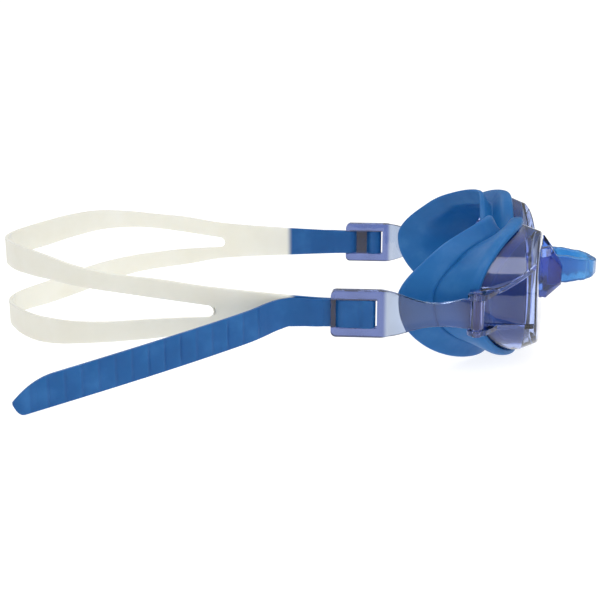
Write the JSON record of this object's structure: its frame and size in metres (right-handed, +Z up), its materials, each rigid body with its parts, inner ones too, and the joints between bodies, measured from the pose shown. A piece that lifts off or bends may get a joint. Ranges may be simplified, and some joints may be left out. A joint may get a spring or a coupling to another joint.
{
  "type": "swim goggles",
  "caption": "Swim goggles with two tinted lenses, soft eye cups, a nose bridge, buckled side clips and a split silicone head strap.",
  "frame": {"origin": "middle of the bounding box, on the surface that the eye cups rest on", "axes": "+X the way the wearer looks, +Y the wearer's left, +Z up"},
  "size_m": [0.2466, 0.1878, 0.0552],
  "materials": {
    "lens_blue": "polished tinted polycarbonate",
    "gasket_silicone": "matte silicone",
    "bridge_silicone": "satin translucent silicone",
    "clip_lavender": "clear tinted polycarbonate",
    "pin_clear": "clear plastic",
    "strap_milky": "milky silicone",
    "strap_blue": "satin silicone"
  },
  "bodies": {
    "frame": {"right_lens": "lens_blue", "left_lens": "lens_blue", "right_gasket": "gasket_silicone", "left_gasket": "gasket_silicone", "nose_bridge": "bridge_silicone", "right_clip_pin": "pin_clear", "left_clip_pin": "pin_clear"},
    "right_arm": {"right_clip": "clip_lavender", "strap_right_fold": "strap_blue"},
    "strap": {"strap_rear": "strap_milky", "strap_right_end": "strap_blue", "strap_left_end": "strap_blue", "strap_right_tail": "strap_blue", "strap_left_tail": "strap_blue"},
    "left_arm": {"left_clip": "clip_lavender", "strap_left_fold": "strap_blue"}
  },
  "joints": [
    {"name": "right_clip_hinge", "type": "hinge", "parent": "frame", "child": "right_arm", "pos_m": [0.07082, -0.04432, 0.0256], "axis": [0, 0, 1], "range_deg": [-5, 5]},
    {"name": "right_strap_bend", "type": "hinge", "parent": "right_arm", "child": "strap", "pos_m": [0.01533, -0.03839, 0.0236], "axis": [0, 0, 1], "range_deg": [-5.5, 5.5]},
    {"name": "left_strap_bend", "type": "hinge", "parent": "strap", "child": "left_arm", "pos_m": [0.01533, 0.08476, 0.0236], "axis": [0, 0, 1], "range_deg": [-5.5, 5.5]}
  ],
  "couplings": [
    {"joint": "right_strap_bend", "follows": "right_clip_hinge", "ratio": -1.0962},
    {"joint": "left_strap_bend", "follows": "right_clip_hinge", "ratio": 1.0962}
  ]
}
